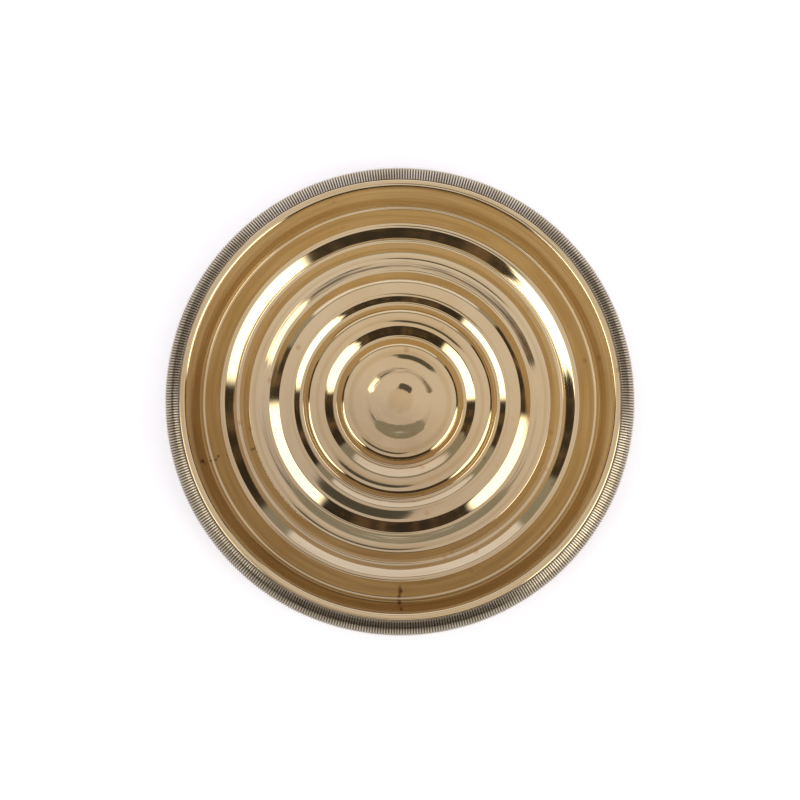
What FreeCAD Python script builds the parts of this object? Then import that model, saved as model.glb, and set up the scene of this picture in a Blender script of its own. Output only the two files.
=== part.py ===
import FreeCAD, Part

import copy
import math
import os

import Sketcher

# Brass offering plate, in millimetres, +Z up, with the table at Z = 0 and the plate's axis on Z.
#
#   bowl_shell          spun sheet: central dimple, round ripples, steep wall, rolled lip with a hem
#   milled_rim_ring     coin-edge ring that sits over the hem of the lip
#   rim_solder_seam     solder film and fillet between the hem and the ring
#   foot_ring           turned ring under one of the ripple valleys
#   inner_foot_solder   solder fillets along both sides of the foot ring
#   outer_foot_solder
#   foot_felt_adhesive  glue film under the foot ring
#   foot_felt_ring      felt that rests on the table

RIPPLE_COUNT = 4
FOOT_VALLEY = 3
FULL_TURN = 360.0

SIZES = {
    # whole plate
    "plate_diameter": 254.0,
    "lip_height": 32.0,
    "sheet_thickness": 1.2,
    # dimple in the middle: flat centre, cone, gently falling crown
    "dimple_flat_radius": 10.5,
    "dimple_flat_height": 8.83,
    "dimple_crest_radius": 22.95,
    "dimple_crest_height": 15.31,
    "dimple_shoulder_radius": 30.2,
    "dimple_shoulder_height": 15.06,
    "dimple_flat_round": 22.0,
    "dimple_crest_round": 18.0,
    "dimple_shoulder_round": 6.0,
    # ripples: from each valley a rise to a crest, a terrace that slopes gently outwards, and a
    # fall to the next valley; the spinner's hand made no two alike
    "valley_round": 1.8,
    "valley_radius_0": 35.2,
    "valley_height_0": 10.4,
    "rise_run_0": 7.6,
    "rise_angle_0": 32.0,
    "shoulder_run_0": 13.45,
    "terrace_angle_0": 3.5,
    "crest_round_0": 8.0,
    "shoulder_round_0": 7.0,
    "valley_radius_1": 53.5,
    "valley_height_1": 10.5,
    "rise_run_1": 5.0,
    "rise_angle_1": 33.0,
    "shoulder_run_1": 11.5,
    "terrace_angle_1": 7.5,
    "crest_round_1": 3.5,
    "shoulder_round_1": 5.7,
    "valley_radius_2": 71.95,
    "valley_height_2": 8.65,
    "rise_run_2": 6.0,
    "rise_angle_2": 29.0,
    "shoulder_run_2": 9.55,
    "terrace_angle_2": 2.0,
    "crest_round_2": 5.0,
    "shoulder_round_2": 4.3,
    "valley_radius_3": 88.3,
    "valley_height_3": 7.2,
    "rise_run_3": 7.4,
    "rise_angle_3": 39.0,
    "shoulder_run_3": 9.3,
    "terrace_angle_3": 2.0,
    "crest_round_3": 3.0,
    "shoulder_round_3": 2.3,
    # wall, rolled lip and hem
    "wall_base_radius": 107.3,
    "wall_base_height": 6.4,
    "wall_base_round": 1.5,
    "lip_inner_radius": 115.1,
    "lip_inner_round": 2.4,
    "lip_outer_round": 1.35,
    "hem_radius": 119.0,
    "hem_depth": 4.0,
    # milled ring, measured down from the lip
    "tooth_count": 533,
    "ring_top_drop": 0.75,
    "ring_equator_drop": 11.5,
    "ring_bottom_drop": 15.5,
    "ring_top_crest_radius": 119.75,
    "ring_top_root_radius": 119.35,
    "flute_depth": 0.5,
    "ring_seat_radius": 119.15,
    "ring_seat_drop": 4.8,
    "ring_wall_thickness": 1.6,
    "solder_film_drop": 1.6,
    "solder_toe": 1.1,
    # foot and felt
    "foot_neck_width": 4.0,
    "foot_base_width": 7.0,
    "foot_base_height": 1.2,
    "foot_flare_height": 1.0,
    "foot_blank_overlap": 0.2,
    "foot_solder_leg": 1.2,
    "felt_width": 6.0,
    "felt_thickness": 1.5,
    "adhesive_thickness": 0.15,
}


def make_sheet(doc):
    """The spreadsheet that holds every driving dimension under its own alias."""
    sheet = doc.addObject("Spreadsheet::Sheet", "Sizes")
    for row, (alias, value) in enumerate(SIZES.items(), start=1):
        sheet.set(f"A{row}", alias)
        sheet.set(f"B{row}", str(value))
        sheet.setAlias(f"B{row}", alias)
    doc.recompute()
    return sheet


def expression(words):
    """A formula in the sheet's aliases, as an expression that other objects can hold."""
    for alias in sorted(SIZES, key=len, reverse=True):
        words = words.replace(f"<{alias}>", f"Sizes.{alias}")
    return words


def value_of(sheet, words):
    result = sheet.evalExpression(expression(words))
    return float(getattr(result, "Value", result))


# ---------------------------------------------------------------------------------------------
# Outlines: straight runs between corner points, with each corner rounded by a tangent arc
# ---------------------------------------------------------------------------------------------


# how the sketcher numbers a line's two ends, the origin and the vertical axis
START = 1
END = 2
ORIGIN = -1
VERTICAL_AXIS = -2


class Corner:
    """One corner of an outline: its radius from the axis, its height and its rounding."""

    def __init__(self, radius, height, rounding=None):
        self.radius = radius
        self.height = height
        self.rounding = rounding


def rounded_run(points, roundings):
    """The lines and tangent arcs of an open outline, in order, as (kind, geometry, turn)."""
    pieces = []
    start = points[0]
    for before, corner, after, rounding in zip(points, points[1:], points[2:], roundings[1:-1]):
        arriving = (corner - before).normalize()
        leaving = (after - corner).normalize()
        turn = math.atan2(arriving.cross(leaving).z, arriving.dot(leaving))
        reach = rounding * math.tan(abs(turn) / 2)
        arc_start = corner - arriving * reach
        arc_end = corner + leaving * reach
        side = math.copysign(1, turn)
        centre = arc_start + FreeCAD.Vector(-arriving.y, arriving.x, 0) * rounding * side
        middle = centre + (corner - centre).normalize() * rounding
        pieces.append(("line", Part.LineSegment(start, arc_start), 0))
        pieces.append(("arc", Part.Arc(arc_start, middle, arc_end), side))
        start = arc_end
    pieces.append(("line", Part.LineSegment(start, points[-1]), 0))
    return pieces


def bind(sketch, constraint, words):
    """Add a constraint whose size is a formula in the sheet's aliases."""
    index = sketch.addConstraint(constraint)
    sketch.setExpression(f"Constraints[{index}]", expression(words))


def pin(sketch, element, vertex, corner, point):
    """Fix one vertex of a sketch at a corner's radius and height."""
    if point.x == 0:
        sketch.addConstraint(Sketcher.Constraint("PointOnObject", element, vertex, VERTICAL_AXIS))
    else:
        across = Sketcher.Constraint("DistanceX", ORIGIN, START, element, vertex, point.x)
        bind(sketch, across, corner.radius)
    up = Sketcher.Constraint("DistanceY", ORIGIN, START, element, vertex, point.y)
    bind(sketch, up, corner.height)


def corner_points(sheet, corners):
    return [
        FreeCAD.Vector(value_of(sheet, c.radius), value_of(sheet, c.height), 0) for c in corners
    ]


def draw_outline(sketch, sheet, corners):
    """Draw an open outline in a sketch and bind every corner and rounding to the sheet."""
    points = corner_points(sheet, corners)
    roundings = [value_of(sheet, c.rounding) if c.rounding else 0 for c in corners]
    pieces = rounded_run(points, roundings)
    for _, geometry, _ in pieces:
        sketch.addGeometry(geometry, False)

    last = len(pieces) - 1
    pin(sketch, 0, START, corners[0], points[0])
    pin(sketch, last, END, corners[-1], points[-1])
    for number, corner in enumerate(corners[1:-1], start=1):
        line_in, arc, line_out = 2 * number - 2, 2 * number - 1, 2 * number
        near, far = (START, END) if pieces[arc][2] > 0 else (END, START)
        sketch.addConstraint(Sketcher.Constraint("Tangent", line_in, END, arc, near))
        sketch.addConstraint(Sketcher.Constraint("Tangent", arc, far, line_out, START))
        bind(sketch, Sketcher.Constraint("Radius", arc, roundings[number]), corner.rounding)
        mark = sketch.addGeometry(Part.Point(points[number]), True)
        sketch.addConstraint(Sketcher.Constraint("PointOnObject", mark, START, line_in))
        sketch.addConstraint(Sketcher.Constraint("PointOnObject", mark, START, line_out))
        pin(sketch, mark, START, corner, points[number])


def draw_polygon(sketch, sheet, corners):
    """Draw a closed outline with sharp corners and bind each corner to the sheet."""
    points = corner_points(sheet, corners)
    for point, following in zip(points, points[1:] + points[:1]):
        sketch.addGeometry(Part.LineSegment(point, following), False)
    for number, (corner, point) in enumerate(zip(corners, points)):
        before = (number - 1) % len(corners)
        sketch.addConstraint(Sketcher.Constraint("Coincident", before, END, number, START))
        pin(sketch, number, START, corner, point)


def origin_plane(body, role):
    return next(plane for plane in body.Origin.OriginFeatures if plane.Role == role)


def turned_body(doc, sheet, name, corners):
    """A ring turned about the plate's axis from a closed outline."""
    body = doc.addObject("PartDesign::Body", name)
    sketch = body.newObject("Sketcher::SketchObject", f"{name}_outline")
    sketch.AttachmentSupport = [(origin_plane(body, "XZ_Plane"), "")]
    sketch.MapMode = "FlatFace"
    draw_polygon(sketch, sheet, corners)
    turned = body.newObject("PartDesign::Revolution", f"{name}_turned")
    turned.Profile = sketch
    turned.ReferenceAxis = (sketch, ["V_Axis"])
    turned.Angle = FULL_TURN
    doc.recompute()
    return body


# ---------------------------------------------------------------------------------------------
# Bowl
# ---------------------------------------------------------------------------------------------


def ripple_corners(index):
    """The valley, crest and shoulder corners of one ripple."""
    valley_radius = f"<valley_radius_{index}>"
    crest_height = f"<valley_height_{index}> + <rise_run_{index}> * tan(<rise_angle_{index}>)"
    terrace_width = f"(<shoulder_run_{index}> - <rise_run_{index}>)"
    return [
        Corner(valley_radius, f"<valley_height_{index}>", "<valley_round>"),
        Corner(f"{valley_radius} + <rise_run_{index}>", crest_height, f"<crest_round_{index}>"),
        Corner(
            f"{valley_radius} + <shoulder_run_{index}>",
            f"{crest_height} - {terrace_width} * tan(<terrace_angle_{index}>)",
            f"<shoulder_round_{index}>",
        ),
    ]


def bowl_corners():
    """The bowl's upper surface, from the middle of the dimple to the end of the hem."""
    corners = [
        Corner("0", "<dimple_flat_height>"),
        Corner("<dimple_flat_radius>", "<dimple_flat_height>", "<dimple_flat_round>"),
        Corner("<dimple_crest_radius>", "<dimple_crest_height>", "<dimple_crest_round>"),
        Corner("<dimple_shoulder_radius>", "<dimple_shoulder_height>", "<dimple_shoulder_round>"),
    ]
    for index in range(RIPPLE_COUNT):
        corners += ripple_corners(index)
    corners += [
        Corner("<wall_base_radius>", "<wall_base_height>", "<wall_base_round>"),
        Corner("<lip_inner_radius>", "<lip_height>", "<lip_inner_round>"),
        Corner("<hem_radius>", "<lip_height>", "<lip_outer_round>"),
        Corner("<hem_radius>", "<lip_height> - <hem_depth>"),
    ]
    return corners


def make_bowl(doc, sheet):
    """Spin the upper surface's outline, thickened downwards to the sheet's gauge."""
    outline = doc.addObject("Sketcher::SketchObject", "bowl_outline")
    outline.Placement = FreeCAD.Placement(
        FreeCAD.Vector(0, 0, 0), FreeCAD.Rotation(FreeCAD.Vector(1, 0, 0), 90)
    )
    draw_outline(outline, sheet, bowl_corners())
    doc.recompute()
    section = doc.addObject("Part::Offset2D", "bowl_section")
    section.Source = outline
    section.Fill = True
    section.Mode = "Skin"
    section.Join = "Arc"
    section.setExpression("Value", expression("-<sheet_thickness>"))
    doc.recompute()
    bowl = doc.addObject("Part::Revolution", "bowl_shell")
    bowl.Source = section
    bowl.Axis = FreeCAD.Vector(0, 0, 1)
    bowl.Angle = FULL_TURN
    bowl.Solid = True
    bowl.Label = "bowl_shell"
    doc.recompute()
    return bowl


# ---------------------------------------------------------------------------------------------
# Milled ring and its solder
# ---------------------------------------------------------------------------------------------


class BulgeArc:
    """A round bulge in a plane through the axis, upright where it crosses the equator plane."""

    def __init__(self, start_radius, start_height, equator_radius, equator_height):
        rise = start_height - equator_height
        reach = equator_radius - start_radius
        self.curve = (rise**2 + reach**2) / (2 * reach)
        self.equator_radius = equator_radius
        self.equator_height = equator_height

    def inside(self, thickness):
        """The concentric arc that lies a thickness inside this one."""
        inner = copy.copy(self)
        inner.curve = self.curve - thickness
        inner.equator_radius = self.equator_radius - thickness
        return inner

    def radius_at(self, height):
        rise = height - self.equator_height
        return self.equator_radius - self.curve + math.sqrt(self.curve**2 - rise**2)

    def edge(self, top, bottom, turn=0.0):
        """The arc between two heights, in the plane that stands at an angle about the axis."""
        heights = (top, self.equator_height, bottom)
        around = FreeCAD.Rotation(FreeCAD.Vector(0, 0, 1), turn)
        points = [around.multVec(FreeCAD.Vector(self.radius_at(z), 0, z)) for z in heights]
        return Part.Arc(*points).toShape()


def end_face(edges, vertex, inner_radius):
    """The flat face between a toothed outline and a circle, through one end of every edge."""
    points = [edge.Vertexes[vertex].Point for edge in edges]
    toothed = Part.makePolygon(points + points[:1])
    circle = Part.makeCircle(inner_radius, FreeCAD.Vector(0, 0, points[0].z))
    return Part.makeFace([toothed, Part.Wire(circle)], "Part::FaceMakerBullseye")


def make_milled_ring(doc, sheet):
    """The coin-edge ring: straight-sided flutes that run up and over its round shoulder."""
    size = {alias: value_of(sheet, f"<{alias}>") for alias in SIZES}
    lip = size["lip_height"]
    top = lip - size["ring_top_drop"]
    seat = lip - size["ring_seat_drop"]
    equator = lip - size["ring_equator_drop"]
    bottom = lip - size["ring_bottom_drop"]
    outer_radius = size["plate_diameter"] / 2
    crest = BulgeArc(size["ring_top_crest_radius"], top, outer_radius, equator)
    root_radius = outer_radius - size["flute_depth"]
    root = BulgeArc(size["ring_top_root_radius"], top, root_radius, equator)
    inner = root.inside(size["ring_wall_thickness"])

    teeth = int(size["tooth_count"])
    pitch = FULL_TURN / teeth
    edges = []
    for tooth in range(teeth):
        edges.append(crest.edge(top, bottom, tooth * pitch))
        edges.append(root.edge(top, bottom, (tooth + 0.5) * pitch))
    flanks = [Part.makeRuledSurface(a, b) for a, b in zip(edges, edges[1:] + edges[:1])]

    seat_radius = size["ring_seat_radius"]
    ledge_radius = inner.radius_at(seat)
    seat_line = Part.makeLine((seat_radius, 0, top), (seat_radius, 0, seat))
    ledge_line = Part.makeLine((seat_radius, 0, seat), (ledge_radius, 0, seat))
    inside_line = Part.Wire([seat_line, ledge_line, inner.edge(seat, bottom)])
    origin = FreeCAD.Vector(0, 0, 0)
    inside = inside_line.revolve(origin, FreeCAD.Vector(0, 0, 1), FULL_TURN)

    faces = flanks + inside.Faces
    faces.append(end_face(edges, 0, seat_radius))
    faces.append(end_face(edges, 1, inner.radius_at(bottom)))
    shell = Part.makeShell(faces)
    shell.sewShape()
    solid = Part.makeSolid(shell)
    if solid.Volume < 0:
        solid.reverse()

    ring = doc.addObject("Part::Feature", "milled_rim_ring")
    ring.Shape = solid
    ring.Placement = FreeCAD.Placement()
    return ring


def make_rim_solder(doc, sheet):
    """A film between hem and ring, with a fillet under the end of the hem."""
    hem_end = "<lip_height> - <hem_depth>"
    corners = [
        Corner("<hem_radius>", "<lip_height> - <solder_film_drop>"),
        Corner("<hem_radius>", hem_end),
        Corner("<hem_radius> - <solder_toe>", hem_end),
        Corner("<ring_seat_radius>", "<lip_height> - <ring_seat_drop>"),
        Corner("<ring_seat_radius>", "<lip_height> - <solder_film_drop>"),
    ]
    return turned_body(doc, sheet, "rim_solder_seam", corners)


# ---------------------------------------------------------------------------------------------
# Foot: ring, solder fillets, glue and felt
# ---------------------------------------------------------------------------------------------

FOOT_RADIUS = f"<valley_radius_{FOOT_VALLEY}>"
FOOT_VALLEY_HEIGHT = f"<valley_height_{FOOT_VALLEY}>"


def fitted_to_bowl(doc, name, blank, bowl):
    """Cut a blank to the underside of the bowl, so that it seats there over its whole face."""
    blank.Label = f"{name}_blank"
    fitted = doc.addObject("Part::Cut", name)
    fitted.Base = blank
    fitted.Tool = bowl
    fitted.Label = name
    return fitted


def make_foot_ring(doc, sheet, bowl):
    bottom = "<felt_thickness> + <adhesive_thickness>"
    flare_bottom = f"{bottom} + <foot_base_height>"
    flare_top = f"{flare_bottom} + <foot_flare_height>"
    blank_top = f"{FOOT_VALLEY_HEIGHT} + <foot_blank_overlap>"
    corners = [
        Corner(f"{FOOT_RADIUS} - <foot_base_width> / 2", bottom),
        Corner(f"{FOOT_RADIUS} + <foot_base_width> / 2", bottom),
        Corner(f"{FOOT_RADIUS} + <foot_base_width> / 2", flare_bottom),
        Corner(f"{FOOT_RADIUS} + <foot_neck_width> / 2", flare_top),
        Corner(f"{FOOT_RADIUS} + <foot_neck_width> / 2", blank_top),
        Corner(f"{FOOT_RADIUS} - <foot_neck_width> / 2", blank_top),
        Corner(f"{FOOT_RADIUS} - <foot_neck_width> / 2", flare_top),
        Corner(f"{FOOT_RADIUS} - <foot_base_width> / 2", flare_bottom),
    ]
    blank = turned_body(doc, sheet, "foot_ring_blank", corners)
    return fitted_to_bowl(doc, "foot_ring", blank, bowl)


def make_foot_solder(doc, sheet, bowl, name, side):
    """The solder fillet between the bowl and one side of the foot: "-" inside, "+" outside."""
    face = f"{FOOT_RADIUS} {side} <foot_neck_width> / 2"
    corners = [
        Corner(face, f"{FOOT_VALLEY_HEIGHT} - <foot_solder_leg>"),
        Corner(face, f"{FOOT_VALLEY_HEIGHT} + <foot_blank_overlap>"),
        Corner(f"{face} {side} <foot_solder_leg>", f"{FOOT_VALLEY_HEIGHT} + <foot_solder_leg>"),
    ]
    blank = turned_body(doc, sheet, f"{name}_blank", corners)
    return fitted_to_bowl(doc, name, blank, bowl)


def make_flat_ring(doc, sheet, name, bottom, top):
    """A flat ring of the felt's width, between two heights."""
    corners = [
        Corner(f"{FOOT_RADIUS} - <felt_width> / 2", bottom),
        Corner(f"{FOOT_RADIUS} + <felt_width> / 2", bottom),
        Corner(f"{FOOT_RADIUS} + <felt_width> / 2", top),
        Corner(f"{FOOT_RADIUS} - <felt_width> / 2", top),
    ]
    return turned_body(doc, sheet, name, corners)


def check_and_export(doc, parts):
    """Stop on any failed object or bad shape, then write one STEP file for each sub-part."""
    doc.recompute()
    for item in doc.Objects:
        if "Invalid" in item.State or "Error" in item.State:
            raise RuntimeError(f"{item.Label} did not recompute: {item.State}")
    for part in parts:
        if part.Shape.isNull() or not part.Shape.isValid() or len(part.Shape.Solids) != 1:
            raise RuntimeError(f"{part.Label} is not one valid solid")
    os.makedirs("parts", exist_ok=True)
    for part in parts:
        part.Shape.exportStep(f"parts/{part.Label}.step")
        print(f"{part.Label}: {part.Shape.Volume / 1000:.2f} cm3")


def main():
    doc = FreeCAD.newDocument("offering_plate")
    sheet = make_sheet(doc)
    felt_top = "<felt_thickness>"
    glue_top = "<felt_thickness> + <adhesive_thickness>"
    bowl = make_bowl(doc, sheet)
    parts = [
        bowl,
        make_milled_ring(doc, sheet),
        make_rim_solder(doc, sheet),
        make_foot_ring(doc, sheet, bowl),
        make_foot_solder(doc, sheet, bowl, "inner_foot_solder", "-"),
        make_foot_solder(doc, sheet, bowl, "outer_foot_solder", "+"),
        make_flat_ring(doc, sheet, "foot_felt_adhesive", felt_top, glue_top),
        make_flat_ring(doc, sheet, "foot_felt_ring", "0", felt_top),
    ]
    check_and_export(doc, parts)


main()
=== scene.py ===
import math

import bmesh
import bpy
import numpy as np
from mathutils import Matrix, Vector, noise


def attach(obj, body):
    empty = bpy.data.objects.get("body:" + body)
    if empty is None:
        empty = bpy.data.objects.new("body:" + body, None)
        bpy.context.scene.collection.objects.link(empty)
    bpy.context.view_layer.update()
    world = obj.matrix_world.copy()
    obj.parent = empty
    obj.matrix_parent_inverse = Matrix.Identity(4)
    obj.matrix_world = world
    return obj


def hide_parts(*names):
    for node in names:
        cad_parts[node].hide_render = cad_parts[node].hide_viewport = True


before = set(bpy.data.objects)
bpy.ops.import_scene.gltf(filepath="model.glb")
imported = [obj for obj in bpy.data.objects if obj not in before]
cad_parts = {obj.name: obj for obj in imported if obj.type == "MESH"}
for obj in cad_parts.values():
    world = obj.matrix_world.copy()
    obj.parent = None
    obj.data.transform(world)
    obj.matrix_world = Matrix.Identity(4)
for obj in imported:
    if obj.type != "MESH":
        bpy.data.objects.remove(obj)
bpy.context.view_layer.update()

MM = 0.001

# ---------------------------------------------------------------------------------------------
# Sizes, in millimetres, as the CAD model has them
# ---------------------------------------------------------------------------------------------

PLATE_DIAMETER = 254.0
LIP_HEIGHT = 32.0
SHEET_THICKNESS = 1.2
HEM_RADIUS = 119.0
HEM_DEPTH = 4.0
LIP_INNER_RADIUS = 115.1
WALL_BASE_RADIUS = 107.3
WALL_BASE_HEIGHT = 6.4
VALLEY_ROUND = 1.8
WALL_BASE_ROUND = 1.5
LIP_INNER_ROUND = 2.4
LIP_OUTER_ROUND = 1.35

# the dimple in the middle, as corners of the outline: radius, height and rounding
DIMPLE = [
    (0.0, 8.83, 0.0),
    (10.5, 8.83, 22.0),
    (22.95, 15.31, 18.0),
    (30.2, 15.06, 6.0),
]

# each ripple's valley radius and height, run and angle of its rise, run to its shoulder, angle
# of its terrace, and the rounding of its crest and shoulder
RIPPLES = [
    (35.2, 10.4, 7.6, 32.0, 13.45, 3.5, 8.0, 7.0),
    (53.5, 10.5, 5.0, 33.0, 11.5, 7.5, 3.5, 5.7),
    (71.95, 8.65, 6.0, 29.0, 9.55, 2.0, 5.0, 4.3),
    (88.3, 7.2, 7.4, 39.0, 9.3, 2.0, 3.0, 2.3),
]

# milled ring, with heights measured down from the lip
TOOTH_COUNT = 533
FLUTE_DEPTH = 0.5
RING_TOP_DROP = 0.75
RING_SEAT_DROP = 4.8
RING_EQUATOR_DROP = 11.5
RING_BOTTOM_DROP = 15.5
RING_TOP_RADIUS = 119.75
RING_TOP_FLUTE_DEPTH = 0.4
# leaves the drawn teeth just inside the solid ones
RING_CREST_ROOM = 0.02
RING_SEAT_RADIUS = 119.15
RING_WALL_THICKNESS = 1.6

# foot, glue and felt
FOOT_RADIUS = 88.3
# the top of the foot is hidden inside the sheet above it
FOOT_TOP = RIPPLES[3][1] - SHEET_THICKNESS * 0.5
FOOT_NECK_WIDTH = 4.0
FOOT_BASE_WIDTH = 7.0
FOOT_BASE_HEIGHT = 1.2
FOOT_FLARE_HEIGHT = 1.0
FOOT_BASE_EDGE = 0.25
FOOT_FLARE_EDGE = 0.3
FOOT_FLARE_ROOT = 0.4
FOOT_TOP_EDGE = 0.1
FOOT_SOLDER_LEG = 1.2
ADHESIVE_THICKNESS = 0.15
FELT_WIDTH = 6.0
FELT_THICKNESS = 1.5
FELT_LOWER_EDGE = 0.45
FELT_UPPER_EDGE = 0.2
FELT_PIT = 0.08
# clumps of fibre to the metre
FIBRE_CLUMPS = 1400

# ---------------------------------------------------------------------------------------------
# Outlines and swept meshes
# ---------------------------------------------------------------------------------------------


def direction(bearing, polar):
    """A unit vector: bearing clockwise from +Y seen from above, polar angle down from +Z."""
    bearing = math.radians(bearing)
    polar = math.radians(polar)
    level = math.sin(polar)
    return Vector((math.sin(bearing) * level, math.cos(bearing) * level, math.cos(polar)))


def run_to(points, end, step):
    """Continue an outline in a straight line, in equal steps."""
    start = points[-1]
    count = max(1, math.ceil(np.linalg.norm(end - start) / step))
    for part in range(1, count + 1):
        points.append(start + (end - start) * part / count)


def rounded_outline(corners, arc_step, line_step):
    """Points along an open outline, given as (radius, height, rounding) for each corner.

    Arcs go in steps of about arc_step degrees, and lines in steps of at most line_step.
    """
    at = [np.array(corner[:2], float) for corner in corners]
    points = [at[0]]
    for before, corner, after, (_, _, rounding) in zip(at, at[1:], at[2:], corners[1:-1]):
        arriving = (corner - before) / np.linalg.norm(corner - before)
        leaving = (after - corner) / np.linalg.norm(after - corner)
        turn = math.atan2(arriving[0] * leaving[1] - arriving[1] * leaving[0], arriving @ leaving)
        reach = rounding * math.tan(abs(turn) / 2)
        start = corner - arriving * reach
        to_centre = np.array([-arriving[1], arriving[0]]) * math.copysign(rounding, turn)
        run_to(points, start, line_step)
        steps = max(2, round(abs(math.degrees(turn)) / arc_step))
        for angle in np.linspace(0, turn, steps + 1)[1:]:
            cos, sin = math.cos(angle), math.sin(angle)
            turned = np.array([[cos, -sin], [sin, cos]]) @ -to_centre
            points.append(start + to_centre + turned)
    run_to(points, at[-1], line_step)
    return np.array(points)


def inner_outline(outline, thickness):
    """The outline's other side, a thickness below or inside it."""
    along = np.gradient(outline, axis=0)
    along /= np.linalg.norm(along, axis=1)[:, None]
    normal = np.stack([along[:, 1], -along[:, 0]], axis=1)
    inner = outline + normal * thickness
    inner[0, 0] = 0.0
    return inner


def swept_mesh(name, angles, sections):
    """Skin closed sections of (radius, height) to a ring: one at each angle from +X, in mm."""
    radius, height = sections[:, :, 0], sections[:, :, 1]
    x = np.cos(angles)[:, None] * radius
    y = np.sin(angles)[:, None] * radius
    vertices = (np.stack([x, y, height], axis=2) * MM).reshape(-1, 3)
    turns, count = radius.shape
    here = np.arange(turns * count).reshape(turns, count)
    along = np.roll(here, -1, axis=1)
    around = np.roll(here, -1, axis=0)
    across = np.roll(along, -1, axis=0)
    faces = np.stack([here, along, across, around], axis=2).reshape(-1, 4)
    mesh = bpy.data.meshes.new(name)
    mesh.from_pydata(vertices.tolist(), [], faces.tolist())
    piece = bpy.data.objects.new(name, mesh)
    bpy.context.scene.collection.objects.link(piece)
    return piece


def turned_mesh(name, outline, segments):
    """Turn one closed outline round the Z axis."""
    angles = np.linspace(0, 2 * math.pi, segments, endpoint=False)
    return swept_mesh(name, angles, np.tile(outline, (segments, 1, 1)))


def tidy_mesh(piece, smooth=True):
    """Join the points that lie on the axis, point every face outwards, and set the shading."""
    work = bmesh.new()
    work.from_mesh(piece.data)
    bmesh.ops.remove_doubles(work, verts=work.verts, dist=1e-7)
    bmesh.ops.recalc_face_normals(work, faces=work.faces)
    for face in work.faces:
        face.smooth = smooth
    work.to_mesh(piece.data)
    work.free()


def place(piece, node, slot, *materials):
    """Let a piece stand for a CAD node, and dress it."""
    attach(piece, "root")
    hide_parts(node)
    dress(piece, *materials)


def dress(piece, *materials):
    piece.data.materials.clear()
    for material in materials:
        piece.data.materials.append(material)


# ---------------------------------------------------------------------------------------------
# The bowl
# ---------------------------------------------------------------------------------------------


def bowl_corners():
    """The bowl's upper surface, from the middle of the dimple to the end of the hem."""
    corners = list(DIMPLE)
    for ripple in RIPPLES:
        valley, floor, rise_run, rise, shoulder_run, terrace, crest_round, shoulder_round = ripple
        crest = floor + rise_run * math.tan(math.radians(rise))
        shoulder = crest - (shoulder_run - rise_run) * math.tan(math.radians(terrace))
        corners += [
            (valley, floor, VALLEY_ROUND),
            (valley + rise_run, crest, crest_round),
            (valley + shoulder_run, shoulder, shoulder_round),
        ]
    corners += [
        (WALL_BASE_RADIUS, WALL_BASE_HEIGHT, WALL_BASE_ROUND),
        (LIP_INNER_RADIUS, LIP_HEIGHT, LIP_INNER_ROUND),
        (HEM_RADIUS, LIP_HEIGHT, LIP_OUTER_ROUND),
        (HEM_RADIUS, LIP_HEIGHT - HEM_DEPTH, 0),
    ]
    return corners


def make_bowl(polished, spun):
    """The spun sheet: polished on its upper side and left from the lathe on its lower side."""
    upper = rounded_outline(bowl_corners(), arc_step=4.5, line_step=3.0)
    coarse = rounded_outline(bowl_corners(), arc_step=15.0, line_step=6.0)
    lower = inner_outline(coarse, SHEET_THICKNESS)
    piece = turned_mesh("spun_bowl", np.concatenate([upper, lower[::-1]]), segments=300)
    tidy_mesh(piece)
    place(piece, "bowl_shell", "spun_brass", polished, spun)
    hidden_side = np.array([polygon.normal.z < 0 for polygon in piece.data.polygons])
    piece.data.polygons.foreach_set("material_index", hidden_side.astype(np.int32))


# ---------------------------------------------------------------------------------------------
# The milled ring
# ---------------------------------------------------------------------------------------------


def bulge(top_radius, equator_radius, heights, top, equator):
    """Radius at each height of a round bulge that is upright where it crosses the equator."""
    reach = equator_radius - top_radius
    curve = ((top - equator) ** 2 + reach**2) / (2 * reach)
    return equator_radius - curve + np.sqrt(curve**2 - (heights - equator) ** 2)


def make_milled_ring(material):
    """The coin-edge ring: flat-topped teeth with sloping flanks and a flat flute between them."""
    top = LIP_HEIGHT - RING_TOP_DROP
    seat = LIP_HEIGHT - RING_SEAT_DROP
    equator = LIP_HEIGHT - RING_EQUATOR_DROP
    bottom = LIP_HEIGHT - RING_BOTTOM_DROP
    outside = PLATE_DIAMETER / 2 - RING_CREST_ROOM
    root_top = RING_TOP_RADIUS - RING_TOP_FLUTE_DEPTH
    root_outside = outside - FLUTE_DEPTH
    heights = np.linspace(top, bottom, num=14)
    crest = bulge(RING_TOP_RADIUS, outside, heights, top, equator)
    root = bulge(root_top, root_outside, heights, top, equator)
    inner_heights = np.linspace(bottom, seat, num=5)
    inner = bulge(root_top, root_outside, inner_heights, top, equator)
    inside = np.stack([inner - RING_WALL_THICKNESS, inner_heights], axis=1)
    ledge = np.array([[RING_SEAT_RADIUS, seat], [RING_SEAT_RADIUS, top]])

    # stations across one tooth: (share of the pitch, share of the flute's depth)
    stations = [(-0.22, 0), (0.22, 0), (0.34, 1), (0.66, 1)]
    angles = []
    sections = []
    for tooth in range(TOOTH_COUNT):
        for share, depth in stations:
            angles.append((tooth + share) / TOOTH_COUNT * 2 * math.pi)
            outer = np.stack([crest + (root - crest) * depth, heights], axis=1)
            sections.append(np.concatenate([outer, inside, ledge]))
    piece = swept_mesh("coin_edge_ring", np.array(angles), np.array(sections))
    depths = np.array([depth for _, depth in stations], np.float32)
    flute = np.tile(np.repeat(depths, len(sections[0])), TOOTH_COUNT)
    attribute = piece.data.attributes.new("flute", "FLOAT", "POINT")
    attribute.data.foreach_set("value", flute)
    tidy_mesh(piece, smooth=False)
    place(piece, "milled_rim_ring", "milled_brass", material)


# ---------------------------------------------------------------------------------------------
# Foot ring, solder fillets and felt, all under the bowl
# ---------------------------------------------------------------------------------------------


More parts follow.
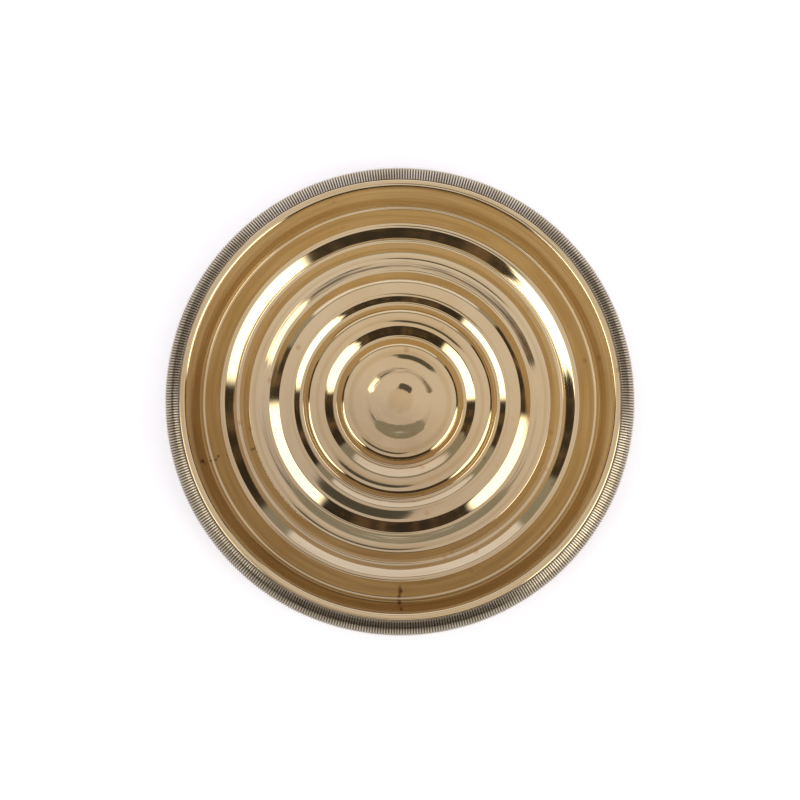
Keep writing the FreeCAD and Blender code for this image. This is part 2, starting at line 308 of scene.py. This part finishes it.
def closed_outline(corners, arc_step, line_step):
    """A closed outline of rounded corners, begun halfway along its last side."""
    first, last = corners[0], corners[-1]
    middle = ((first[0] + last[0]) / 2, (first[1] + last[1]) / 2, 0)
    return rounded_outline([middle, *corners, middle], arc_step, line_step)[:-1]


def make_foot_ring(material):
    """The turned ring, with its edges broken as a turner leaves them."""
    bottom = FELT_THICKNESS + ADHESIVE_THICKNESS
    flare_bottom = bottom + FOOT_BASE_HEIGHT
    flare_top = flare_bottom + FOOT_FLARE_HEIGHT
    neck = FOOT_NECK_WIDTH / 2
    base = FOOT_BASE_WIDTH / 2
    corners = [
        (FOOT_RADIUS - base, bottom, FOOT_BASE_EDGE),
        (FOOT_RADIUS + base, bottom, FOOT_BASE_EDGE),
        (FOOT_RADIUS + base, flare_bottom, FOOT_FLARE_EDGE),
        (FOOT_RADIUS + neck, flare_top, FOOT_FLARE_ROOT),
        (FOOT_RADIUS + neck, FOOT_TOP, FOOT_TOP_EDGE),
        (FOOT_RADIUS - neck, FOOT_TOP, FOOT_TOP_EDGE),
        (FOOT_RADIUS - neck, flare_top, FOOT_FLARE_ROOT),
        (FOOT_RADIUS - base, flare_bottom, FOOT_FLARE_EDGE),
    ]
    outline = closed_outline(corners, arc_step=15.0, line_step=1.0)
    piece = turned_mesh("turned_foot_ring", outline, segments=360)
    tidy_mesh(piece)
    place(piece, "foot_ring", "turned_brass", material)


# a fillet's face, in shares of its leg: out from the foot's side, and up from the foot's top
FILLET_FACE = [(0.0, -1.0), (0.35, -0.42), (1.0, 0.35)]
# how far the fillet runs into the foot and the bowl, unseen
FILLET_OVERLAP = 0.2
# the leg's mean length and its wander, in shares of its stated length, and waves to a turn
FILLET_MEAN_LEG = 0.9
FILLET_WANDER = 0.12
FILLET_WAVES = (5, 13, 29, 61)


def make_foot_solder(name, node, side, material):
    """A hand-run fillet along one side of the foot, whose toe wanders a little as it goes round."""
    angles = np.linspace(0, 2 * math.pi, num=480, endpoint=False)
    wander = sum(np.sin(angles * waves + waves) / waves for waves in FILLET_WAVES)
    legs = FOOT_SOLDER_LEG * (FILLET_MEAN_LEG + FILLET_WANDER * wander / np.abs(wander).max())
    side_radius = FOOT_RADIUS + side * FOOT_NECK_WIDTH / 2
    buried_radius = side_radius - side * FILLET_OVERLAP
    sections = []
    for leg in legs:
        section = [(buried_radius, FOOT_TOP - leg)]
        for out, up in FILLET_FACE:
            section.append((side_radius + side * leg * out, FOOT_TOP + leg * up))
        section.append((buried_radius, FOOT_TOP + FILLET_OVERLAP))
        sections.append(section)
    piece = swept_mesh(name, angles, np.array(sections))
    tidy_mesh(piece)
    place(piece, node, "solder", material)


def make_felt(material):
    """Felt cut to a ring: soft edges, and a face raised and pitted by its fibres."""
    inner = FOOT_RADIUS - FELT_WIDTH / 2
    outer = FOOT_RADIUS + FELT_WIDTH / 2
    corners = [
        (inner, 0.0, FELT_LOWER_EDGE),
        (outer, 0.0, FELT_LOWER_EDGE),
        (outer, FELT_THICKNESS, FELT_UPPER_EDGE),
        (inner, FELT_THICKNESS, FELT_UPPER_EDGE),
    ]
    outline = closed_outline(corners, arc_step=20.0, line_step=0.5)
    piece = turned_mesh("felt_ring", outline, segments=900)
    tidy_mesh(piece)
    middle = Vector((FOOT_RADIUS * MM, FELT_THICKNESS / 2 * MM))
    for vertex in piece.data.vertices:
        across = Vector((math.hypot(vertex.co.x, vertex.co.y), vertex.co.z)) - middle
        pit = 0.5 + 0.5 * noise.noise(vertex.co * FIBRE_CLUMPS)
        inwards = across * (FELT_PIT * MM * pit / across.length)
        spoke = Vector((vertex.co.x, vertex.co.y, 0)).normalized()
        vertex.co -= spoke * inwards.x + Vector((0, 0, inwards.y))
    place(piece, "foot_felt_ring", "felt", material)


# ---------------------------------------------------------------------------------------------
# Materials
# ---------------------------------------------------------------------------------------------

BRASS = (0.71, 0.565, 0.32)
GOLDEN_TARNISH = (0.62, 0.44, 0.20)
# browner wall streaks: partly marks in the brass, partly painted reflection that darkens the wall
WALL_STREAK_AND_REFLECTION = (0.46, 0.32, 0.16)
# painted shade, for the side of the plate whose reflections are darker
PAINTED_SHADE_BROWN = (0.27, 0.19, 0.12)
SPOT_TARNISH = (0.48, 0.26, 0.10)
# dark of the dirt on the wall and of its painted reflections
DIRT_AND_REFLECTION = (0.10, 0.05, 0.03)
UNDERSIDE_TARNISH = (0.55, 0.36, 0.15)
FOOT_TARNISH = (0.52, 0.36, 0.16)
TOOTH_CREST = (0.64, 0.55, 0.40)
TOOTH_WORN = (0.50, 0.40, 0.26)
# painted shade, for teeth on the side whose reflections are darker
TOOTH_PAINTED_SHADE = (0.25, 0.20, 0.14)
FLUTE_TARNISH = (0.09, 0.075, 0.05)
SOLDER_BRIGHT = (0.52, 0.51, 0.48)
SOLDER_DULL = (0.24, 0.23, 0.21)
GLUE_AMBER = (0.30, 0.17, 0.06)
GLUE_BROWN = (0.16, 0.08, 0.03)
FELT_DARK = (0.010, 0.050, 0.022)
FELT_LIGHT = (0.035, 0.135, 0.060)


class Tree:
    """One node tree, with short ways to add maths, noise and colour nodes to it."""

    def __init__(self, tree):
        self.tree = tree

    def node(self, kind, **settings):
        made = self.tree.nodes.new(kind)
        for name, value in settings.items():
            setattr(made, name, value)
        return made

    def feed(self, socket, value):
        if isinstance(value, bpy.types.NodeSocket):
            self.tree.links.new(value, socket)
        else:
            socket.default_value = value

    def do(self, operation, *values):
        made = self.node("ShaderNodeMath", operation=operation)
        for socket, value in zip(made.inputs, values):
            self.feed(socket, value)
        return made.outputs[0]

    def step(self, value, low, high):
        """0 below low, 1 above high, and a smooth rise between."""
        made = self.node("ShaderNodeMapRange", interpolation_type="SMOOTHSTEP")
        self.feed(made.inputs["Value"], value)
        self.feed(made.inputs["From Min"], low)
        self.feed(made.inputs["From Max"], high)
        return made.outputs["Result"]

    def window(self, value, low, high, soft):
        """1 between low and high, and 0 outside."""
        rise = self.step(value, low - soft, low + soft)
        fall = self.step(value, high - soft, high + soft)
        return self.do("SUBTRACT", rise, fall)

    def mix(self, share, a, b):
        made = self.node("ShaderNodeMix", data_type="RGBA")
        self.feed(made.inputs[0], share)
        self.feed(made.inputs[6], a if isinstance(a, bpy.types.NodeSocket) else (*a, 1))
        self.feed(made.inputs[7], b if isinstance(b, bpy.types.NodeSocket) else (*b, 1))
        return made.outputs[2]

    def vector(self, x, y, z):
        made = self.node("ShaderNodeCombineXYZ")
        for socket, value in zip(made.inputs, (x, y, z)):
            self.feed(socket, value)
        return made.outputs[0]

    def split(self, vector):
        made = self.node("ShaderNodeSeparateXYZ")
        self.tree.links.new(vector, made.inputs[0])
        return made.outputs

    def place(self):
        """Where a point is on the object, in metres."""
        return self.node("ShaderNodeTexCoord").outputs["Object"]

    def noise(self, vector, scale, detail=2.0, roughness=0.5):
        made = self.node("ShaderNodeTexNoise")
        self.tree.links.new(vector, made.inputs["Vector"])
        made.inputs["Scale"].default_value = scale
        made.inputs["Detail"].default_value = detail
        made.inputs["Roughness"].default_value = roughness
        return made.outputs["Fac"]

    def bump(self, height, depth):
        """Normals of a relief that is so many metres deep where the height is 1."""
        made = self.node("ShaderNodeBump")
        made.inputs["Distance"].default_value = depth
        self.tree.links.new(height, made.inputs["Height"])
        return made.outputs["Normal"]

    def radius(self):
        """How far a point is from the plate's axis."""
        x, y, _ = self.split(self.place())
        return self.do("SQRT", self.do("ADD", self.do("MULTIPLY", x, x), self.do("MULTIPLY", y, y)))

    def turning_lines(self, across, around):
        """Coordinates that are drawn out round the plate's axis, for marks left by turning.

        across says how fast they change outwards and upwards, to the metre, and around how much
        they change in a turn. The second result is the point's radius.
        """
        x, y, z = self.split(self.place())
        radius = self.radius()
        outwards = self.do("MULTIPLY", self.do("ADD", radius, z), across)
        safe_radius = self.do("MAXIMUM", radius, 0.001)
        cos = self.do("MULTIPLY", self.do("DIVIDE", x, safe_radius), around)
        sin = self.do("MULTIPLY", self.do("DIVIDE", y, safe_radius), around)
        return self.vector(outwards, cos, sin), radius


def new_material(name):
    material = bpy.data.materials.new(name)
    material.use_nodes = True
    shader = next(node for node in material.node_tree.nodes if node.type == "BSDF_PRINCIPLED")
    return material, Tree(material.node_tree), shader


def polished_brass():
    """Mirror-polished brass with polishing lines and uneven tarnish, and painted shade and painted
    reflection in its colour.
    """
    material, t, shader = new_material("polished_brass")
    fine = t.noise(t.turning_lines(across=900, around=1.2)[0], scale=1, detail=3)
    broad, radius = t.turning_lines(across=260, around=2.0)
    streaks = t.noise(broad, scale=1, detail=2)
    waves = t.noise(t.place(), scale=14, detail=1)
    t.feed(shader.inputs["Base Color"], tarnish_shade_and_reflection_colour(t, radius, streaks))
    shader.inputs["Metallic"].default_value = 1
    t.feed(shader.inputs["Roughness"], t.do("MULTIPLY_ADD", fine, 0.08, 0.03))
    relief = t.do("MULTIPLY_ADD", fine, 0.000014, t.do("MULTIPLY", streaks, 0.00004))
    relief = t.do("MULTIPLY_ADD", waves, 0.0004, relief)
    t.feed(shader.inputs["Normal"], t.bump(relief, 1.0))
    return material


def tarnish_shade_and_reflection_colour(t, radius, streaks):
    """Brass under a golden film, wall streaks that are partly painted reflection, painted shade on
    one side, small spots, and dirt with painted reflections of it.
    """
    wall_edge = (WALL_BASE_RADIUS + 0.5) * MM
    lip_edge = (LIP_INNER_RADIUS + 0.1) * MM
    on_wall = t.window(radius, wall_edge, lip_edge, soft=0.6 * MM)
    on_lip = t.step(radius, lip_edge - 0.4 * MM, lip_edge + 0.4 * MM)
    in_middle = t.do("SUBTRACT", 1.0, t.step(radius, 30 * MM, 80 * MM))

    patches = t.noise(t.place(), scale=22, detail=4)
    film = t.do("MULTIPLY", t.step(patches, 0.40, 0.75), 0.40)
    film = t.do("MULTIPLY_ADD", in_middle, 0.30, film)
    colour = t.mix(film, BRASS, GOLDEN_TARNISH)
    # browner streaks on the wall: partly marks in the brass, partly painted reflection, darkening
    # the wall as the reflected ripples do
    wall_streaks_and_reflection = t.do("MULTIPLY", t.step(streaks, 0.30, 0.70), on_wall)
    colour = t.mix(t.do("MULTIPLY", wall_streaks_and_reflection, 0.55), colour, WALL_STREAK_AND_REFLECTION)
    # painted shade: the colour is browned towards -X and -Y, less on the lip, standing in for darker
    # reflections there
    painted_shade = t.do("MULTIPLY", painted_shade_side(t, radius), t.do("MULTIPLY_ADD", streaks, 0.8, 0.3))
    painted_shade = t.do("MULTIPLY", painted_shade, t.do("MULTIPLY_ADD", on_lip, -0.35, 0.45))
    colour = t.mix(painted_shade, colour, PAINTED_SHADE_BROWN)
    spots = t.do("MULTIPLY", stains(t), t.do("MULTIPLY_ADD", on_wall, -0.5, 0.5))
    colour = t.mix(spots, colour, SPOT_TARNISH)
    # dark marks: dirt on the wall, and painted reflections of that dirt on the slope below the wall
    return t.mix(dirt_and_reflected_marks(t), colour, DIRT_AND_REFLECTION)


def painted_shade_side(t, radius):
    """Painted shade: 0 on the plate's bright side, rising to 1 on its darkened side, between -X and
    -Y.
    """
    x, y, _ = t.split(t.place())
    lean = t.do("MULTIPLY_ADD", x, -0.35, t.do("MULTIPLY", y, -0.80))
    return t.step(t.do("DIVIDE", lean, t.do("MAXIMUM", radius, 0.01)), -0.5, 0.9)


def stains(t):
    """Small round tarnish spots, in loose groups."""
    cells = t.node("ShaderNodeTexVoronoi")
    t.feed(cells.inputs["Vector"], t.place())
    cells.inputs["Scale"].default_value = 95
    spot = t.do("SUBTRACT", 1.0, t.step(cells.outputs["Distance"], 0.08, 0.20))
    grouped = t.step(t.noise(t.place(), scale=30, detail=1), 0.56, 0.64)
    return t.do("MULTIPLY", spot, grouped)


# dirt that has run down the wall, and painted reflections of it in the outer ripple's slope, which
# are the marks below the wall's base: bearing clockwise from +Y, radius and size in mm
DIRT_AND_REFLECTED_MARKS = [
    (253.0, 111.6, 1.3),
    (252.6, 107.8, 1.0),
    (253.2, 103.2, 1.2),
    (180.0, 109.0, 1.5),
    (180.3, 105.8, 1.3),
    (179.6, 102.8, 1.1),
]


def dirt_and_reflected_marks(t):
    """0.6 inside any of the marks, and 0 elsewhere. A mark is drawn out where the brass is steep."""
    x, y, _ = t.split(t.place())
    level = t.vector(x, y, 0.0)
    found = 0.0
    for bearing, radius, size in DIRT_AND_REFLECTED_MARKS:
        away = t.node("ShaderNodeVectorMath", operation="DISTANCE")
        t.feed(away.inputs[0], level)
        away.inputs[1].default_value = direction(bearing, 90) * radius * MM
        mark = t.do("SUBTRACT", 1.0, t.step(away.outputs["Value"], size * 0.4 * MM, size * MM))
        found = t.do("MAXIMUM", found, t.do("MULTIPLY", mark, 0.6))
    return found


def spun_brass():
    """The duller lower side, with the marks of the spinning tool."""
    material, t, shader = new_material("spun_brass")
    marks = t.noise(t.turning_lines(across=900, around=1.0)[0], scale=1, detail=4)
    patches = t.noise(t.place(), scale=30, detail=5)
    colour = t.mix(t.step(patches, 0.35, 0.70), BRASS, UNDERSIDE_TARNISH)
    t.feed(shader.inputs["Base Color"], colour)
    shader.inputs["Metallic"].default_value = 1
    t.feed(shader.inputs["Roughness"], t.do("MULTIPLY_ADD", marks, 0.18, 0.18))
    t.feed(shader.inputs["Normal"], t.bump(marks, 0.00004))
    return material


def milled_brass():
    """Worn bright teeth over flutes that hold dark tarnish, with painted shade darkening the teeth
    towards -X and -Y.
    """
    material, t, shader = new_material("milled_brass")
    flute = t.node("ShaderNodeAttribute", attribute_name="flute").outputs["Fac"]
    patches = t.noise(t.place(), scale=60, detail=4)
    worn = t.mix(t.step(patches, 0.35, 0.75), TOOTH_CREST, TOOTH_WORN)
    # painted shade: the teeth are darkened towards -X and -Y, standing in for darker reflections
    # there
    painted_shade = t.do("MULTIPLY", painted_shade_side(t, t.radius()), 0.45)
    worn = t.mix(painted_shade, worn, TOOTH_PAINTED_SHADE)
    t.feed(shader.inputs["Base Color"], t.mix(t.step(flute, 0.1, 0.9), worn, FLUTE_TARNISH))
    shader.inputs["Metallic"].default_value = 1
    t.feed(shader.inputs["Roughness"], t.do("MULTIPLY_ADD", patches, 0.15, 0.22))
    return material


def turned_brass():
    """Lathe-turned brass with fine feed lines and some tarnish."""
    material, t, shader = new_material("turned_brass")
    lines = t.noise(t.turning_lines(across=2600, around=0.5)[0], scale=1, detail=2)
    patches = t.noise(t.place(), scale=45, detail=4)
    colour = t.mix(t.step(patches, 0.35, 0.70), BRASS, FOOT_TARNISH)
    t.feed(shader.inputs["Base Color"], colour)
    shader.inputs["Metallic"].default_value = 1
    t.feed(shader.inputs["Roughness"], t.do("MULTIPLY_ADD", lines, 0.20, 0.14))
    t.feed(shader.inputs["Normal"], t.bump(lines, 0.00003))
    return material


def solder():
    """Grey tin-lead solder, dull and faintly lumpy."""
    material, t, shader = new_material("solder")
    lumps = t.noise(t.place(), scale=500, detail=3)
    dull = t.noise(t.place(), scale=120, detail=4)
    colour = t.mix(t.step(dull, 0.35, 0.70), SOLDER_BRIGHT, SOLDER_DULL)
    t.feed(shader.inputs["Base Color"], colour)
    shader.inputs["Metallic"].default_value = 1
    t.feed(shader.inputs["Roughness"], t.do("MULTIPLY_ADD", dull, 0.30, 0.25))
    t.feed(shader.inputs["Normal"], t.bump(lumps, 0.00012))
    return material


def adhesive():
    """A dried amber film of contact cement."""
    material, t, shader = new_material("adhesive")
    streaks = t.noise(t.place(), scale=260, detail=3)
    colour = t.mix(t.step(streaks, 0.30, 0.70), GLUE_AMBER, GLUE_BROWN)
    t.feed(shader.inputs["Base Color"], colour)
    t.feed(shader.inputs["Roughness"], t.do("MULTIPLY_ADD", streaks, 0.25, 0.30))
    t.feed(shader.inputs["Normal"], t.bump(streaks, 0.00010))
    return material


def felt():
    """Pressed wool felt: matted fibres in uneven green, with a soft sheen."""
    material, t, shader = new_material("felt")
    fibres = t.noise(t.place(), scale=2400, detail=4, roughness=0.7)
    clumps = t.noise(t.place(), scale=420, detail=3)
    shade = t.do("MULTIPLY_ADD", fibres, 0.6, t.do("MULTIPLY", clumps, 0.4))
    colour = t.mix(t.step(shade, 0.30, 0.70), FELT_DARK, FELT_LIGHT)
    t.feed(shader.inputs["Base Color"], colour)
    t.feed(shader.inputs["Roughness"], t.do("MULTIPLY_ADD", fibres, 0.15, 0.82))
    shader.inputs["Specular IOR Level"].default_value = 0.2
    shader.inputs["Sheen Weight"].default_value = 0.5
    shader.inputs["Sheen Roughness"].default_value = 0.5
    t.feed(shader.inputs["Normal"], t.bump(fibres, 0.00025))
    return material


# ---------------------------------------------------------------------------------------------
# Studio: floor, surroundings, camera
# ---------------------------------------------------------------------------------------------

CAMERA_DISTANCE = 1.4
CAMERA_TILT = 4.2
CAMERA_BEARING = 189.0
# metres across the picture, at the height of the lip
VIEW_WIDTH = 0.42914
# shares of the picture's width by which the view moves, to frame the plate
VIEW_SHIFT = (-0.42 / 800, -1.23 / 800)

FLOOR_WIDTH = 6.0
FLOOR_PAPER = (0.9, 0.9, 0.9)
FLOOR_GLOW = 0.42

# radiances of the surroundings
CEILING_OVERHEAD = (0.76, 0.70, 0.72)
CEILING_AROUND = (0.84, 0.80, 0.90)
DIM_SIDE = (0.05, 0.042, 0.036)
CLUTTERED_SIDE = (0.21, 0.14, 0.09)
SOFTBOX = (3.5, 3.5, 3.5)
GREY_WALL = (0.40, 0.40, 0.40)
PALE_PANEL = (1.10, 1.12, 1.40)
CAMERA_ARM = (0.12, 0.12, 0.12)


def make_floor():
    mesh = bpy.data.meshes.new("floor")
    half = FLOOR_WIDTH / 2
    corners = [(-half, -half, 0), (half, -half, 0), (half, half, 0), (-half, half, 0)]
    mesh.from_pydata(corners, [], [(0, 1, 2, 3)])
    floor = bpy.data.objects.new("floor", mesh)
    bpy.context.scene.collection.objects.link(floor)
    material, _, shader = new_material("floor_paper")
    shader.inputs["Base Color"].default_value = (*FLOOR_PAPER, 1)
    shader.inputs["Roughness"].default_value = 0.9
    shader.inputs["Emission Color"].default_value = (1, 1, 1, 1)
    shader.inputs["Emission Strength"].default_value = FLOOR_GLOW
    dress(floor, material)


class Surroundings:
    """Masks by direction, for painting what stands round the plate.

    Angles are in degrees: bearing clockwise from +Y, and polar angle down from +Z.
    """

    def __init__(self, tree):
        self.t = tree
        self.towards = tree.node("ShaderNodeTexCoord").outputs["Generated"]
        x, y, z = tree.split(self.towards)
        self.polar = tree.do("DEGREES", tree.do("ARCCOSINE", z))
        self.bearing = tree.do("DEGREES", tree.do("ARCTAN2", x, y))
        # how far down the wall at +Y a direction points, the same along any level edge
        self.down_wall = tree.do("DEGREES", tree.do("ARCTAN2", y, z))

    def aside(self, centre):
        """Degrees of bearing to either side of a centre."""
        difference = self.t.do("SUBTRACT", self.bearing, centre)
        return self.t.do("ABSOLUTE", self.t.do("WRAP", difference, 180.0, -180.0))

    def within(self, centre, half, soft=1.5):
        """1 where the bearing is within half of the centre. half may change with height."""
        room = self.t.do("SUBTRACT", half, self.aside(centre))
        return self.t.step(room, -soft, soft)

    def both(self, a, b):
        return self.t.do("MULTIPLY", a, b)

    def taper(self, top, bottom, at_top, at_bottom):
        """A half width that changes in a straight line from one polar angle to another."""
        share = self.t.do("DIVIDE", self.t.do("SUBTRACT", self.polar, top), bottom - top)
        return self.t.do("ADD", self.t.do("MULTIPLY", share, at_bottom - at_top), at_top)


def paint_room(t, s):
    """A pale ceiling that reaches lower on two sides, over dim sides with some clutter."""
    lower_sides = t.do("ADD", s.within(70, 30, soft=4), s.within(290, 30, soft=4))
    ceiling_edge = t.do("MULTIPLY_ADD", lower_sides, 6.0, 51.0)
    beyond_ceiling = t.step(t.do("SUBTRACT", s.polar, ceiling_edge), -2, 2)
    ceiling = t.mix(t.step(s.polar, 4, 16), CEILING_OVERHEAD, CEILING_AROUND)
    clutter = t.step(t.noise(s.towards, scale=7, detail=3), 0.45, 0.75)
    return t.mix(beyond_ceiling, ceiling, t.mix(clutter, DIM_SIDE, CLUTTERED_SIDE))


def paint_softboxes(t, s, colour):
    """A softbox on each side. Their widths change with height, as boxes seen at a slant."""
    right_half = t.do("MINIMUM", s.taper(52, 62, 14, 25), 25.0)
    right = s.both(s.within(118, right_half, soft=3), t.window(s.polar, 51.5, 86, soft=2))
    left_half = t.do("MINIMUM", s.taper(66, 77, 26, 11), 26.0)
    left = s.both(s.within(247, left_half, soft=3), t.window(s.polar, 57, 78, soft=1))
    return t.mix(t.do("MAXIMUM", right, left), colour, SOFTBOX)


def paint_wall_and_panel(t, s, colour):
    """A grey wall towards +Y with a level top, and a pale panel leaning on it."""
    wall = s.both(s.within(-5.2, 54.2), t.step(s.down_wall, 44, 47))
    colour = t.mix(wall, colour, GREY_WALL)
    panel = s.both(s.within(-1.7, 39.3), t.step(s.down_wall, 58, 60))
    return t.mix(panel, colour, PALE_PANEL)


def paint_camera_arm(t, s, colour):
    """The dark arm that holds the camera overhead, narrower lower down."""
    arm = s.both(s.within(205, s.taper(4, 24, 46, 20), soft=3), t.window(s.polar, 5, 22, soft=2))
    return t.mix(arm, colour, CAMERA_ARM)


def make_studio_world():
    """The room round the plate, which the polished brass mirrors."""
    world = bpy.data.worlds.new("studio")
    bpy.context.scene.world = world
    world.use_nodes = True
    world.node_tree.nodes.clear()
    t = Tree(world.node_tree)
    s = Surroundings(t)
    colour = paint_room(t, s)
    colour = paint_softboxes(t, s, colour)
    colour = paint_wall_and_panel(t, s, colour)
    colour = paint_camera_arm(t, s, colour)
    background = t.node("ShaderNodeBackground")
    t.feed(background.inputs["Color"], colour)
    output = t.node("ShaderNodeOutputWorld")
    t.feed(output.inputs["Surface"], background.outputs[0])


def make_camera():
    camera = bpy.data.cameras.new("camera")
    camera.sensor_width = 36
    camera.lens = camera.sensor_width * CAMERA_DISTANCE / VIEW_WIDTH
    camera.clip_start = 0.01
    camera.shift_x = VIEW_SHIFT[0]
    camera.shift_y = VIEW_SHIFT[1]
    holder = bpy.data.objects.new("camera", camera)
    back = direction(CAMERA_BEARING, CAMERA_TILT)
    holder.location = Vector((0, 0, LIP_HEIGHT * MM)) + back * CAMERA_DISTANCE
    # the picture's up is +Y, as nearly as the tilt allows
    right = Vector((0, 1, 0)).cross(back).normalized()
    up = back.cross(right)
    holder.rotation_mode = "QUATERNION"
    holder.rotation_quaternion = Matrix((right, up, back)).transposed().to_quaternion()
    bpy.context.scene.collection.objects.link(holder)
    bpy.context.scene.camera = holder


def main():
    make_bowl(polished_brass(), spun_brass())
    make_milled_ring(milled_brass())
    make_foot_ring(turned_brass())
    tin = solder()
    make_foot_solder("inner_fillet", "inner_foot_solder", -1, tin)
    make_foot_solder("outer_fillet", "outer_foot_solder", 1, tin)
    dress(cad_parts["rim_solder_seam"], tin)
    dress(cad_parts["foot_felt_adhesive"], adhesive())
    make_felt(felt())
    make_floor()
    make_studio_world()
    make_camera()
    bpy.context.scene.view_settings.view_transform = "Standard"


main()
